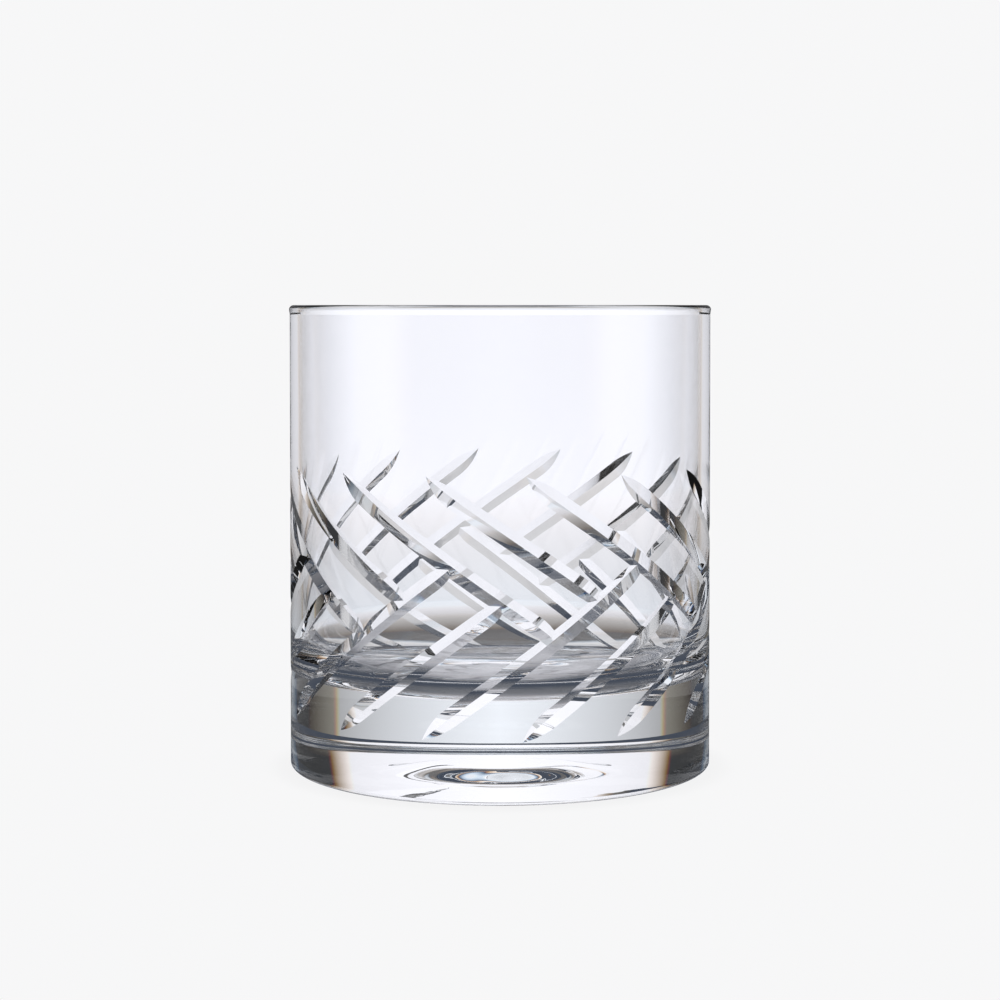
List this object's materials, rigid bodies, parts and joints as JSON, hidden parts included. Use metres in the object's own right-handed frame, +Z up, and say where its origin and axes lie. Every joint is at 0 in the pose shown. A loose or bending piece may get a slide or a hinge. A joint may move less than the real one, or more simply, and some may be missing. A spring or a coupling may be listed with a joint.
{
  "type": "whiskey tumbler",
  "caption": "Straight-sided cut-crystal whiskey tumbler with a heavy base and a woven band of V-cuts, for holding a drink.",
  "frame": {"origin": "centre of the plane that the foot ring stands on", "axes": "+Z up along the glass's axis to the rim; -Y is the front, where one of the long falling strokes begins"},
  "size_m": [0.0822, 0.0822, 0.09],
  "materials": {
    "crystal": "polished, clear"
  },
  "bodies": {
    "root": {"tumbler_glass": "crystal"}
  },
  "joints": []
}
